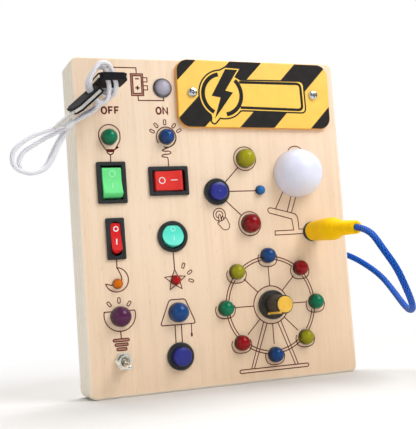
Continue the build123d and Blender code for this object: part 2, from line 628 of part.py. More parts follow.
for name, metal, p in (("key", "key_blade", KEY_P), ("spare_key", "spare_key_blade", SPARE_P)):
    with BuildPart() as blade:
        add(blade_and_bow(p))
    blade.part.label = metal
    export_step(blade.part, f"parts/{metal}.step")
    with BuildPart() as head:
        add(head_shells(p))
    head.part.label = f"{name}_head"
    export_step(head.part, f"parts/{name}_head.step")

WHITE_ROUTE = [
    (-78.5, -25, 134), (-84, -24.5, 131.5), (-90, -24.5, 130), (-96, -24.5, 128), (-102, -24, 124.5),
    (-106.5, -23.5, 120.5), (-107, -22.5, 114.5), (-103, -21.5, 111), (-97, -21, 110), (-91, -20.5, 112),
    (-87, -20, 117.5), (-84.5, -19.5, 123), (-81, -19.5, 128.5), (-77, -19.5, 134), (-71, -19, 139),
    (-64.5, -19.5, 142.5), (-60, -22.5, 145.5), (-56.5, -27.5, 147.5), (-56.5, -32, 151), (-58.5, -32.5, 157),
    (-60, -33, 161), (-64.5, -33.5, 161.5), (-67.5, -33, 157.5), (-70, -31, 152), (-68, -29, 147),
    (-65, -28, 142.5), (-61, -29, 143.5), (-60, -31.5, 149.5), (-61, -32, 154), (-61.5, -31.5, 159.5),
    (-65.5, -30, 160), (-68.5, -28.5, 156), (-70.5, -27, 151), (-68, -26, 147.5), (-64.5, -25, 143.5),
    (-65.5, -23, 140.5), (-70.5, -22, 138), (-76.5, -22.5, 134.5), (-83, -22, 130.5), (-89.5, -22, 127.5),
    (-95.5, -21.5, 124), (-101.5, -20.5, 120.5), (-104, -19.5, 115), (-100, -18, 110.5), (-94, -17.5, 111),
    (-89.5, -17, 114.5), (-87, -17, 120), (-84, -16.5, 125.5), (-80, -16.5, 131.5), (-77.5, -16.5, 134)]
with BuildPart() as white_cord:
    add(cord(WHITE_ROUTE, WHITE))
white_cord.part.label = "white_cord"
export_step(white_cord.part, "parts/white_cord.step")

with BuildPart() as cord_sleeve:                      # band that holds both ends of the loop together
    with BuildSketch(Plane(origin=(-79.4, -20.7, 132.9), x_dir=(-0.6, 0, 0.8), z_dir=(0.8, 0, 0.6))):
        SlotOverall(12.4, 4.0, rotation=90)
    extrude(amount=2.5, both=True)
    add(white_cord.part, mode=Mode.SUBTRACT)
cord_sleeve.part.label = "cord_sleeve"
export_step(cord_sleeve.part, "parts/cord_sleeve.step")

# ---- inside the box -----------------------------------------------------------------------
with BuildPart() as control_board:
    with BuildSketch(at(BOARD, -PANEL)):
        Rectangle(BOARD_W, BOARD_H)
    extrude(amount=-4.0)
    with BuildSketch(at(BOARD, -PANEL - 1.6)):        # the board proper is 1.6 thick, with parts upon it
        Rectangle(BOARD_W, BOARD_H)
        Rectangle(8, 8, mode=Mode.SUBTRACT)
        with GridLocations(0, BOARD_H - 6, 1, 2):
            Circle(3.0, mode=Mode.SUBTRACT)
        with Locations((-4.5, -8.5), (4.5, 8.5)):
            Circle(1.6, mode=Mode.SUBTRACT)
    extrude(amount=-2.4, mode=Mode.SUBTRACT)
    with BuildSketch(at(BOARD, -PANEL)):
        with GridLocations(0, BOARD_H - 6, 1, 2):
            Circle(1.2)
    extrude(amount=-4.0, mode=Mode.SUBTRACT)
control_board.part.label = "control_board"
export_step(control_board.part, "parts/control_board.step")

with BuildPart() as leads:                            # lamp leads and switch terminals, all tinned metal
    for spot, dia in LAMPS:
        with BuildSketch(at(spot, -PANEL - LED_FLANGE)):
            with GridLocations(2.54, 0, 2, 1):
                Rectangle(0.5, 0.5)
        extrude(amount=-4.2)
    for p, pitch in ((GREEN_P, 10), (RED_P, 10), (SLIM_P, 10), (ROUND_P, 8)):
        with BuildSketch(p.offset(-14)):
            with GridLocations(0, pitch, 1, 2):
                Rectangle(4.8, 0.8)
        extrude(amount=-2.4)
leads.part.label = "leads"
export_step(leads.part, "parts/leads.step")
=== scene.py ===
"""Looks of the wooden busy board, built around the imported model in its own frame."""
import math

import bpy
from mathutils import Matrix, Vector
from mathutils.bvhtree import BVHTree


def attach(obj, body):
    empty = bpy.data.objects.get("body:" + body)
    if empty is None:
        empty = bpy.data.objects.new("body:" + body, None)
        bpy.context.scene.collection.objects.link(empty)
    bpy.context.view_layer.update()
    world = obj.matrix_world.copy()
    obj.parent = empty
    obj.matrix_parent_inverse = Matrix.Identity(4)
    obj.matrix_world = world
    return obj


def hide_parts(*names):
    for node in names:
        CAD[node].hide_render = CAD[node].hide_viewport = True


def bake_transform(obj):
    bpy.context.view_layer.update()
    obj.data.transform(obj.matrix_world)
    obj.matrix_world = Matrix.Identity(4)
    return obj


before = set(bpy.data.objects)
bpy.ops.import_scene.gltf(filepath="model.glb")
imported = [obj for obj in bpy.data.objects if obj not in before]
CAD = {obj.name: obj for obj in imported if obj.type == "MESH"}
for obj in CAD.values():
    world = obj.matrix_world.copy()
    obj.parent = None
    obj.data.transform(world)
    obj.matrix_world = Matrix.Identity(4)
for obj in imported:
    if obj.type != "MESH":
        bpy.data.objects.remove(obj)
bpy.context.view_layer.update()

TAU = math.tau
MM = 0.001
# the board in mm: y of its front and back, its width, and its height above the floor
FACE, REAR = -10.5, 10.5
WIDTH, HEIGHT = 148.0, 171.0


# ---- camera ------------------------------------------------------------------------------
def make_camera():
    """Camera where the photograph was taken from."""
    yaw, pitch, roll = (math.radians(a) for a in (-20.869, -5.103, -4.165))
    level = Matrix(((1, 0, 0), (0, 0, -1), (0, 1, 0)))
    turn = (
        Matrix.Rotation(roll, 3, "Z")
        @ Matrix.Rotation(pitch, 3, "X")
        @ Matrix.Rotation(yaw, 3, "Y")
        @ level
    )
    data = bpy.data.cameras.new("camera")
    data.lens, data.sensor_width, data.sensor_fit = 75.09, 36.0, "HORIZONTAL"
    data.clip_start, data.clip_end = 0.01, 50.0
    camera = bpy.data.objects.new("camera", data)
    place = Matrix.Translation(Vector((-0.166108, -0.429658, 0.048358)))
    facing = (turn.transposed() @ Matrix(((1, 0, 0), (0, -1, 0), (0, 0, -1)))).to_4x4()
    camera.matrix_world = place @ facing
    bpy.context.scene.collection.objects.link(camera)
    bpy.context.scene.camera = camera


make_camera()


# ---- mesh helpers ------------------------------------------------------------------------
def new_object(name, verts, faces, smooth=False):
    """Mesh object from points in millimetres."""
    mesh = bpy.data.meshes.new(name)
    mesh.from_pydata([[c * MM for c in v] for v in verts], [], faces)
    mesh.validate()
    mesh.update()
    if smooth:
        mesh.polygons.foreach_set("use_smooth", [True] * len(mesh.polygons))
    made = bpy.data.objects.new(name, mesh)
    bpy.context.scene.collection.objects.link(made)
    return made


def smooth_line(points):
    """Points along the NURBS line that has these route points, in metres."""
    curve = bpy.data.curves.new("route", "CURVE")
    curve.dimensions = "3D"
    spline = curve.splines.new("NURBS")
    spline.points.add(len(points) - 1)
    for knot, spot in zip(spline.points, points):
        knot.co = (*[c * MM for c in spot], 1.0)
    spline.order_u = 3
    spline.use_endpoint_u = True
    spline.resolution_u = 24
    holder = bpy.data.objects.new("route", curve)
    bpy.context.scene.collection.objects.link(holder)
    bpy.context.view_layer.update()
    mesh = bpy.data.meshes.new_from_object(holder)
    line = [v.co.copy() for v in mesh.vertices]
    bpy.data.objects.remove(holder)
    bpy.data.meshes.remove(mesh)
    return line


def resample(line, step):
    """The same line with evenly spaced points."""
    total = sum((b - a).length for a, b in zip(line, line[1:]))
    count = max(2, round(total / step))
    out, reach, i, done = [line[0].copy()], total / count, 0, 0.0
    for k in range(1, count):
        want = k * reach
        while done + (line[i + 1] - line[i]).length < want:
            done += (line[i + 1] - line[i]).length
            i += 1
        run = line[i + 1] - line[i]
        out.append(line[i] + run * ((want - done) / run.length))
    out.append(line[-1].copy())
    return out


BRAID_STEPS = 6  # rings of points per pitch of the braid


def braided_tube(name, points, diameter, strands, pitch, sides, lift):
    """Round tube along a route, its skin raised into a two-way braid. Returns the object and its centre line."""
    line = resample(smooth_line(points), pitch / BRAID_STEPS * MM)
    radius = diameter / 2
    way = (line[1] - line[0]).normalized()
    side = way.orthogonal().normalized()
    verts, faces, shade = [], [], []
    for i, spot in enumerate(line):
        after = (line[min(i + 1, len(line) - 1)] - line[max(i - 1, 0)]).normalized()
        side = (way.rotation_difference(after) @ side).normalized()
        side = (side - after * side.dot(after)).normalized()
        way = after
        other = way.cross(side)
        for j in range(sides):
            angle = TAU * j / sides
            along = i / BRAID_STEPS
            one = math.cos(strands * angle + TAU * along / 2)
            two = math.cos(strands * angle - TAU * along / 2)
            top = max(one, two)
            # each strand passes over and under the other family in turn
            over = 0.5 + 0.5 * math.cos(strands * angle) * math.cos(TAU * along / 2)
            height = 0.55 * (0.5 + 0.5 * top) + 0.45 * over
            r = (radius - lift + lift * height) * MM
            verts.append(spot + side * (r * math.cos(angle)) + other * (r * math.sin(angle)))
            shade.append(height)
    rings = len(line)
    for i in range(rings - 1):
        for j in range(sides):
            k = (j + 1) % sides
            faces.append((i * sides + j, i * sides + k, (i + 1) * sides + k, (i + 1) * sides + j))
    faces.append(tuple(range(sides - 1, -1, -1)))
    faces.append(tuple((rings - 1) * sides + j for j in range(sides)))
    made = new_object(name, [[c / MM for c in v] for v in verts], faces, smooth=True)
    mark = made.data.attributes.new("braid", "FLOAT", "POINT")
    mark.data.foreach_set("value", shade)
    return made, [list(p) for p in line]


# ---- cords -------------------------------------------------------------------------------
# from the plug's end to the hole in the board's right side
BLUE_ROUTE = [
    (53, -58, 74.9), (52.3, -64, 73.7), (50.5, -71, 72.3), (48.9, -79.3, 69.5), (49.3, -86.2, 62.1),
    (53.9, -88.6, 53.4), (59.5, -85.5, 45), (67.5, -77.5, 37.5), (75, -67, 33), (81.5, -53.5, 32), (87, -39, 36),
    (91.5, -24.5, 42.5), (92.5, -12, 51), (86.5, -2.5, 59.5), (76.5, 0, 65), (66, 0, 65),
]
# two turns through the slots of both keys, from the sleeve and back to it
WHITE_ROUTE = [
    (-78.5, -25, 134), (-84, -24.5, 131.5), (-90, -24.5, 130), (-96, -24.5, 128), (-102, -24, 124.5),
    (-106.5, -23.5, 120.5), (-107, -22.5, 114.5), (-103, -21.5, 111), (-97, -21, 110),
    (-91, -20.5, 112), (-87, -20, 117.5), (-84.5, -19.5, 123), (-81, -19.5, 128.5),
    (-77, -19.5, 134), (-71, -19, 139), (-64.5, -19.5, 142.5), (-60, -22.5, 145.5),
    (-56.5, -27.5, 147.5), (-56.5, -32, 151), (-58.5, -32.5, 157), (-60, -33, 161),
    (-64.5, -33.5, 161.5), (-67.5, -33, 157.5), (-70, -31, 152), (-68, -29, 147),
    (-65, -28, 142.5), (-61, -29, 143.5), (-60, -31.5, 149.5), (-61, -32, 154),
    (-61.5, -31.5, 159.5), (-65.5, -30, 160), (-68.5, -28.5, 156), (-70.5, -27, 151),
    (-68, -26, 147.5), (-64.5, -25, 143.5), (-65.5, -23, 140.5), (-70.5, -22, 138),
    (-76.5, -22.5, 134.5), (-83, -22, 130.5), (-89.5, -22, 127.5), (-95.5, -21.5, 124),
    (-101.5, -20.5, 120.5), (-104, -19.5, 115), (-100, -18, 110.5), (-94, -17.5, 111),
    (-89.5, -17, 114.5), (-87, -17, 120), (-84, -16.5, 125.5), (-80, -16.5, 131.5),
    (-77.5, -16.5, 134),
]
blue_cord, blue_line = braided_tube("braided_blue_cord", BLUE_ROUTE, 3.3, 8, 1.5, 48, 0.16)
white_cord, white_line = braided_tube("braided_white_cord", WHITE_ROUTE, 2.3, 6, 1.3, 36, 0.05)
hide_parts("blue_cord")
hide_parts("white_cord")
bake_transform(blue_cord)
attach(white_cord, "keys")


# ---- material helpers --------------------------------------------------------------------
class Paint:
    """A Principled material whose colour, roughness and bump can be fed by textures in object space."""

    def __init__(self, name, color, roughness, metallic=0.0, **sockets):
        self.material = bpy.data.materials.new(name)
        self.material.use_nodes = True
        self.tree = self.material.node_tree
        self.shader = self.tree.nodes["Principled BSDF"]
        self.set("Base Color", (*color, 1.0))
        self.set("Roughness", roughness)
        self.set("Metallic", metallic)
        for key, value in sockets.items():
            self.set(key.replace("_", " "), value)
        self.spots = self.tree.nodes.new("ShaderNodeTexCoord").outputs["Object"]

    def set(self, key, value):
        """One value for a socket of the shader, the same all over the surface."""
        self.shader.inputs[key].default_value = value

    def node(self, kind, **settings):
        made = self.tree.nodes.new("ShaderNode" + kind)
        for key, value in settings.items():
            setattr(made, key, value)
        return made

    def link(self, source, target):
        self.tree.links.new(source, target)

    def stretched(self, stretch):
        """Object coordinates scaled per axis, so 1 is one repeat per metre."""
        mapping = self.node("Mapping")
        mapping.inputs["Scale"].default_value = stretch
        self.link(self.spots, mapping.inputs["Vector"])
        return mapping.outputs["Vector"]

    def noise(self, stretch, detail=4.0, rough=0.55, warp=0.0):
        texture = self.node("TexNoise")
        texture.inputs["Scale"].default_value = 1.0
        texture.inputs["Detail"].default_value = detail
        texture.inputs["Roughness"].default_value = rough
        texture.inputs["Distortion"].default_value = warp
        self.link(self.stretched(stretch), texture.inputs["Vector"])
        return texture.outputs["Fac"]

    def attribute(self, name):
        return self.node("Attribute", attribute_name=name).outputs["Fac"]

    def axis(self, letter):
        """X, Y or Z in metres."""
        split = self.node("SeparateXYZ")
        self.link(self.spots, split.inputs["Vector"])
        return split.outputs[letter]

    def reach(self, value, low, high, to_low=0.0, to_high=1.0):
        """Value mapped from low..high to to_low..to_high and kept inside it."""
        span = self.node("MapRange")
        for key, number in (("From Min", low), ("From Max", high), ("To Min", to_low), ("To Max", to_high)):
            span.inputs[key].default_value = number
        self.link(value, span.inputs["Value"])
        return span.outputs["Result"]

    def math(self, operation, a, b=0.0):
        made = self.node("Math", operation=operation)
        for i, item in enumerate((a, b)):
            if isinstance(item, (int, float)):
                made.inputs[i].default_value = item
            else:
                self.link(item, made.inputs[i])
        return made.outputs[0]

    def ramp(self, factor, stops):
        """Colour or grey by a factor, from (place, tone) stops."""
        made = self.node("ValToRGB")
        band = made.color_ramp.elements
        while len(band) < len(stops):
            band.new(0.5)
        for element, (place, color) in zip(band, stops):
            element.position = place
            element.color = (*color, 1.0) if isinstance(color, tuple) else (color, color, color, 1.0)
        self.link(factor, made.inputs["Fac"])
        return made.outputs["Color"]

    def mix(self, factor, a, b, blend="MIX"):
        made = self.node("Mix", data_type="RGBA", blend_type=blend)
        for key, item in (("Factor", factor), ("A", a), ("B", b)):
            target = [s for s in made.inputs if s.name == key and s.enabled][0]
            if isinstance(item, tuple):
                target.default_value = (*item, 1.0)
            elif isinstance(item, (int, float)):
                target.default_value = item
            else:
                self.link(item, target)
        return [s for s in made.outputs if s.enabled][0]

    def color(self, source):
        self.link(source, self.shader.inputs["Base Color"])
        return self

    def rough(self, factor, low, high):
        """Roughness that follows a noise between low and high."""
        self.link(self.reach(factor, 0.3, 0.7, low, high), self.shader.inputs["Roughness"])
        return self

    def bump(self, height, distance):
        """Relief by a height, distance in metres."""
        made = self.node("Bump")
        made.inputs["Distance"].default_value = distance
        self.link(height, made.inputs["Height"])
        self.link(made.outputs["Normal"], self.shader.inputs["Normal"])
        return self


def tint(color, amount):
    """The colour times an amount, kept to 1."""
    return tuple(min(1.0, c * amount) for c in color)


def plastic(name, color, roughness=0.35, grain=0.000012, spread=0.06, **sockets):
    """Moulded plastic: faint mottling, a fine orange-peel skin and slightly uneven gloss."""
    paint = Paint(name, color, roughness, **sockets)
    mottle = paint.noise((220, 220, 220), 3.0)
    paint.color(paint.ramp(mottle, [(0.35, tint(color, 1 - spread)), (0.65, tint(color, 1 + spread))]))
    paint.rough(paint.noise((900, 900, 900), 2.0), roughness - 0.06, roughness + 0.06)
    paint.bump(paint.noise((2600, 2600, 2600), 2.0), grain)
    return paint.material


def metal(name, color, roughness=0.22, stretch=(500, 500, 4000), wear=0.08, metallic=1.0):
    """Plated metal with fine drawn marks and a slightly uneven tone."""
    paint = Paint(name, color, roughness, metallic)
    marks = paint.noise(stretch, 4.0, 0.6)
    cloud = paint.noise((160, 160, 160), 3.0)
    paint.color(paint.ramp(cloud, [(0.3, tint(color, 1 - wear)), (0.7, tint(color, 1 + wear))]))
    paint.rough(marks, roughness - 0.08, roughness + 0.12)
    paint.bump(marks, 0.000006)
    return paint.material


# ---- materials ---------------------------------------------------------------------------
def ply_layers(paint, front, layers, light, dark):
    """Colour of the cut edge: veneers that alternate in depth, from y = front in mm, each with its thickness."""
    depth = paint.reach(paint.axis("Y"), front * MM, (front + sum(layers)) * MM)
    # the cut runs a little unevenly along the edge
    sway = paint.reach(paint.noise((9, 9, 9), 2.0), 0.3, 0.7, -0.012, 0.012)
    depth = paint.math("ADD", depth, sway)
    stops, done, total = [], 0.0, sum(layers)
    for i, thick in enumerate(layers):
        tone = dark if i % 2 else light
        stops.append((done / total + 0.012, tone))
        done += thick
        stops.append((done / total - 0.012, tone))
    return paint.ramp(depth, stops)


def birch(name, front, layers, cut_depths):
    """Birch ply: pale straight grain on the face, layered on the cut edge, which shows between two depths."""
    paint = Paint(name, (0.9, 0.72, 0.53), 0.46, Coat_Weight=0.12, Coat_Roughness=0.35)
    cloud = paint.noise((26, 26, 5), 3.0, 0.5)
    streak = paint.noise((330, 330, 9), 5.0, 0.62, 0.6)
    fine = paint.noise((1900, 1900, 42), 3.0, 0.6)
    fleck = paint.noise((1500, 1500, 210), 2.0, 0.5)
    base = paint.ramp(cloud, [(0.3, (0.93, 0.75, 0.575)), (0.7, (0.87, 0.67, 0.485))])
    # painted shade with a warm cast darkens the sheet a little towards its lower end
    painted_low_shade = paint.ramp(paint.reach(paint.axis("Z"), 0.0, 0.12), [(0.0, (1.0, 0.955, 0.90)), (1.0, (1.0, 1.0, 1.0))])
    base = paint.mix(1.0, base, painted_low_shade, "MULTIPLY")
    base = paint.mix(paint.ramp(streak, [(0.42, 0.0), (0.72, 0.55)]), base, (0.80, 0.575, 0.375))
    base = paint.mix(paint.ramp(fine, [(0.5, 0.0), (0.8, 0.35)]), base, (0.74, 0.52, 0.33))
    base = paint.mix(paint.ramp(fleck, [(0.66, 0.0), (0.74, 0.4)]), base, (0.62, 0.40, 0.24))
    # a paler band runs round the sheet's outer edge
    inner, outer = 1.8, 0.6  # how far the band's two sides lie from that edge
    sideways = paint.math("ABSOLUTE", paint.axis("X"))
    sideways = paint.reach(sideways, (WIDTH / 2 - inner) * MM, (WIDTH / 2 - outer) * MM)
    upright = paint.math("ABSOLUTE", paint.math("SUBTRACT", paint.axis("Z"), HEIGHT / 2 * MM))
    upright = paint.reach(upright, (HEIGHT / 2 - inner) * MM, (HEIGHT / 2 - outer) * MM)
    pale_edge_band = paint.math("MAXIMUM", sideways, upright)
    base = paint.mix(paint.math("MULTIPLY", pale_edge_band, 0.75), base, (0.93, 0.84, 0.72))
    edge = ply_layers(paint, front, layers, (0.94, 0.87, 0.74), (0.80, 0.71, 0.57))
    ends = paint.noise((700, 500, 700), 4.0, 0.7)
    edge = paint.mix(paint.ramp(ends, [(0.4, 0.0), (0.75, 0.25)]), edge, (0.62, 0.52, 0.40))
    low, high = cut_depths
    cut = paint.math(
        "MULTIPLY",
        paint.math("GREATER_THAN", paint.axis("Y"), low * MM),
        paint.math("LESS_THAN", paint.axis("Y"), high * MM),
    )
    paint.color(paint.mix(cut, base, edge))
    paint.rough(streak, 0.40, 0.54)
    paint.bump(paint.math("ADD", paint.math("MULTIPLY", fine, 0.5), streak), 0.00003)
    return paint.material


def lens(name, color, top=6.0):
    """Tinted epoxy lamp with a faint cloudy core: painted shade darkens its rim and painted light lightens it towards
    the top of its dome.
    """
    paint = Paint(name, color, 0.3, Coat_Weight=0.4, Coat_Roughness=0.05, Specular_IOR_Level=0.05)
    core = paint.noise((230, 230, 230), 2.0, 0.5, 0.8)
    # painted shade at the lamp's rim, painted light towards the top of its dome
    rise = paint.reach(paint.axis("Y"), (FACE - 0.4) * MM, (FACE - top) * MM)
    painted_rim_shade_and_glow = paint.ramp(rise, [(0.06, tint(color, 0.15)), (0.4, tint(color, 0.35)), (0.6, tint(color, 0.95)),
                            (0.8, tint(color, 1.1)), (1.0, tint(color, 1.35))])
    paint.color(paint.mix(paint.ramp(core, [(0.5, 0.0), (0.7, 0.35)]), painted_rim_shade_and_glow, tint(color, 1.8)))
    paint.bump(paint.noise((420, 420, 420), 1.0), 0.00005)
    return paint.material


def woven(name, color, shade, roughness):
    """Braided textile with a dull surface: painted shade darkens the valleys between the strands and a painted
    highlight lightens their crests.
    """
    paint = Paint(name, color, roughness, Specular_IOR_Level=0.1)
    high = paint.attribute("braid")
    fibre = paint.noise((5200, 5200, 5200), 3.0, 0.7)
    # painted shade in the valleys between the strands, painted highlight on their crests
    tone = paint.ramp(high, [(0.3, shade), (0.62, color), (0.95, tint(color, 1.25))])
    paint.color(paint.mix(paint.ramp(fibre, [(0.4, 0.0), (0.8, 0.35)]), tone, shade))
    paint.bump(fibre, 0.00005)
    return paint.material


# where the plate's diagonal stripes start and end, as z - x in mm
STRIPE_SPANS = ((60.0, 76.6), (99.3, 119.2), (139.4, 158.2), (177.6, 200.0))
# the plate's print lies on its front, which stands this far off the face
PLATE_RISE = 2.5


def cover_yellow():
    """Printed yellow plate: its stripes run out over the rounded edge, its sides are a deeper orange."""
    color = (0.955, 0.585, 0.085)
    paint = Paint("yellow_plate", color, 0.38, Coat_Weight=0.15, Coat_Roughness=0.3)
    print_cloud = paint.noise((140, 140, 140), 3.0)
    face = paint.ramp(print_cloud, [(0.3, tint(color, 0.96)), (0.7, tint(color, 1.03))])
    across = paint.math("SUBTRACT", paint.axis("Z"), paint.axis("X"))
    first, last = STRIPE_SPANS[0][0], STRIPE_SPANS[-1][1]
    stops, off, on, soft_edge = [], (0.0, 0.0, 0.0), (1.0, 1.0, 1.0), 0.1
    for start, end in STRIPE_SPANS:
        for spot, tone in ((start, off), (start + soft_edge, on), (end - soft_edge, on), (end, off)):
            stops.append(((spot - first) / (last - first), tone))
    striped = paint.ramp(paint.reach(across, first * MM, last * MM), stops)
    face = paint.mix(striped, face, (0.022, 0.020, 0.019))
    side = paint.reach(paint.axis("Y"), (FACE - PLATE_RISE + 0.05) * MM, (FACE - PLATE_RISE + 0.3) * MM)
    paint.color(paint.mix(side, face, (0.80, 0.36, 0.035)))
    paint.bump(paint.noise((1500, 1500, 1500), 3.0), 0.00001)
    return paint.material


BIRCH_FRONT = birch("birch_face", FACE, (1.6, 0.7, 1.3, 0.7, 0.7), (FACE + 0.3, FACE + 50))
BIRCH_RIM = birch("birch_rim", FACE + 5, (0.4, 1.9, 2.1, 1.9, 2.1, 1.9, 1.7), (-100, 100))
BIRCH_BACK = birch("birch_back", REAR - 4, (0.3, 1.2, 1.2, 1.3), (REAR - 100, REAR - 0.8))
STEEL = metal("screw_steel", (0.66, 0.66, 0.67), 0.16, (1800, 1800, 1800))
NICKEL = metal("nut_nickel", (0.90, 0.83, 0.74), 0.24, (1200, 1200, 1200), 0.25)
CHROME = metal("lock_chrome", (0.80, 0.80, 0.79), 0.3, (900, 900, 900), metallic=0.65)
KEY_METAL = metal("key_metal", (0.62, 0.60, 0.55), 0.22, (600, 3000, 600))
CELL = metal("cell_metal", (0.62, 0.60, 0.58), 0.3)
CONTACT = metal("contact_metal", (0.80, 0.75, 0.62), 0.28)
TINNED = metal("tinned_metal", (0.78, 0.78, 0.78), 0.3)
PIN = metal("pin_metal", (0.78, 0.74, 0.66), 0.2)
POT = metal("pot_metal", (0.60, 0.60, 0.58), 0.3)
SWITCH_BLACK = plastic("switch_black", (0.018, 0.021, 0.024), 0.42, 0.00002, 0.18, Specular_IOR_Level=0.4)
JACK_BLACK = plastic("jack_black", (0.02, 0.02, 0.022), 0.4, 0.00002, 0.15)
GLAND_BLACK = plastic("gland_black", (0.02, 0.02, 0.022), 0.55, 0.00002, 0.15)
KNOB_BLACK = plastic("knob_black", (0.020, 0.017, 0.014), 0.4, 0.00002, 0.2, Specular_IOR_Level=0.4)
KNOB_YELLOW = plastic("knob_yellow", (0.90, 0.53, 0.06), 0.42)
KEY_BLACK = plastic("key_black", (0.013, 0.013, 0.016), 0.7, 0.00002, 0.18, Specular_IOR_Level=0.08)
GREEN = plastic("rocker_green", (0.15, 0.80, 0.26), 0.45, 0.000006, 0.03, Specular_IOR_Level=0.3)
RED = plastic("rocker_red", (0.76, 0.040, 0.034), 0.45, 0.000005, 0.04, Specular_IOR_Level=0.18)
DEEP_RED = plastic("rocker_deep_red", (0.68, 0.016, 0.018), 0.45, 0.000005, 0.04, Specular_IOR_Level=0.12)
TEAL = plastic("rocker_teal", (0.09, 0.77, 0.60), 0.4, 0.000006, 0.04, Specular_IOR_Level=0.35)
BUTTON_BLUE = plastic("button_blue", (0.020, 0.024, 0.25), 0.36, spread=0.08, Specular_IOR_Level=0.4)
PLUG_YELLOW = plastic("plug_yellow", (1.0, 0.60, 0.0), 0.5, 0.00002, 0.03, Specular_IOR_Level=0.1)
TRAY = plastic("tray_plastic", (0.03, 0.03, 0.03), 0.5)
BOARD_GREEN = plastic("board_green", (0.02, 0.16, 0.06), 0.45)
SLEEVE = plastic("sleeve_white", (0.78, 0.78, 0.80), 0.4)
MARK_WHITE = plastic("mark_white", (0.84, 0.82, 0.84), 0.5)
DOME = plastic(
    "dome_white", (0.80, 0.79, 0.97), 0.42, 0.000008, 0.02,
    Subsurface_Weight=0.25, Subsurface_Scale=0.004, Coat_Weight=0.2, Coat_Roughness=0.25,
)
PLATE = cover_yellow()
PRINT_BLACK = plastic("print_black", (0.020, 0.018, 0.017), 0.6, 0.00001, 0.12, Specular_IOR_Level=0.12)
PRINT_YELLOW = plastic("print_yellow", (0.955, 0.60, 0.085), 0.4, 0.00001, 0.03)
BLUE_BRAID = woven("cord_blue", (0.008, 0.105, 0.54), (0.002, 0.014, 0.12), 0.5)
WHITE_BRAID = woven("cord_white", (0.77, 0.77, 0.82), (0.70, 0.70, 0.77), 0.75)
LENSES = {
    "grey": lens("lens_grey", (0.29, 0.275, 0.33), 2.4),
    "green": lens("lens_green", (0.003, 0.145, 0.066)),
    "blue": lens("lens_blue", (0.008, 0.045, 0.165)),
    "sky": lens("lens_sky", (0.012, 0.115, 0.34), 3.6),
    "orange": lens("lens_orange", (0.52, 0.12, 0.0), 3.6),
    "red": lens("lens_red", (0.25, 0.004, 0.006)),
    "wide_red": lens("lens_wide_red", (0.20, 0.004, 0.006), 7.2),
    "star_red": lens("lens_star_red", (0.34, 0.005, 0.006), 3.6),
    "purple": lens("lens_purple", (0.066, 0.014, 0.050)),
    "lime": lens("lens_lime", (0.25, 0.235, 0.004)),
    "white": lens("lens_white", (0.7, 0.7, 0.75)),
}


def burnt():
    """Laser-engraved line: dark red-brown char, uneven along the stroke."""
    paint = Paint("engraved_wood", (0.12, 0.022, 0.018), 0.85, Specular_IOR_Level=0.05)
    char = paint.noise((800, 800, 800), 3.0)
    paint.color(paint.ramp(char, [(0.3, (0.085, 0.011, 0.009)), (0.7, (0.175, 0.034, 0.026))]))
    paint.bump(paint.noise((2500, 2500, 2500), 2.0), 0.00004)
    return paint.material


BURNT = burnt()
blue_cord.data.materials.append(BLUE_BRAID)
white_cord.data.materials.append(WHITE_BRAID)


def dress(finish, *names):
    """Give nodes of the frame their finish."""
    for name in names:
        for place in CAD[name].material_slots:
            place.material = finish


dress(BIRCH_FRONT, "front_panel")
dress(BIRCH_RIM, "rim_frame")
dress(BIRCH_BACK, "back_panel")
dress(STEEL, "pan_screws")
dress(PLATE, "cover_plate")
dress(TRAY, "battery_tray")
dress(CELL, "battery_cells")
dress(CONTACT, "battery_contacts")
dress(LENSES["grey"], "led_grey")
dress(LENSES["green"], "led_green", "wheel_leds_green")
dress(LENSES["blue"], "led_blue", "led_shade_blue", "wheel_leds_blue")
dress(LENSES["sky"], "led_small_blue")
dress(LENSES["orange"], "led_orange")
dress(LENSES["red"], "wheel_leds_red")
dress(LENSES["wide_red"], "led_press_red")
dress(LENSES["star_red"], "led_star_red")
dress(LENSES["purple"], "led_purple")
dress(LENSES["lime"], "led_yellow", "wheel_leds_lime")
dress(LENSES["white"], "led_lamp")
dress(DOME, "lamp_dome")
dress(SWITCH_BLACK, "rocker_housings", "housing_slim", "housing_round", "button_bezels", "button_nuts")
dress(NICKEL, "toggle_body", "toggle_nut", "toggle_lever", "pot_nut", "lock_nut")
dress(POT, "pot_body", "pot_shaft")
dress(JACK_BLACK, "jack_body", "jack_nut")
dress(GLAND_BLACK, "cord_gland")
dress(CHROME, "lock_case", "lock_cylinder")
dress(BOARD_GREEN, "control_board")
dress(TINNED, "leads")
dress(GREEN, "rocker_green")
dress(RED, "rocker_red")
dress(DEEP_RED, "rocker_slim")
dress(TEAL, "rocker_round")
dress(BUTTON_BLUE, "button_cap_mid", "button_cap_low")
dress(KNOB_BLACK, "knob_body")
dress(KNOB_YELLOW, "knob_cap")
dress(PLUG_YELLOW, "plug_shell")
dress(PIN, "plug_pin")
dress(KEY_METAL, "key_blade", "spare_key_blade")
dress(KEY_BLACK, "key_head", "spare_key_head")
dress(SLEEVE, "cord_sleeve")


# ---- moulded plug, its strain relief pulled down a little by the cord ----------------------
PLUG_X, PLUG_Z, PLUG_LENGTH, PLUG_BORE = 53, 77, 47.5, 2.78


def plug_droop(h):
    """How far the soft moulding has drooped, h in front of the face."""
    return -2.1 * (h / PLUG_LENGTH) ** 1.6


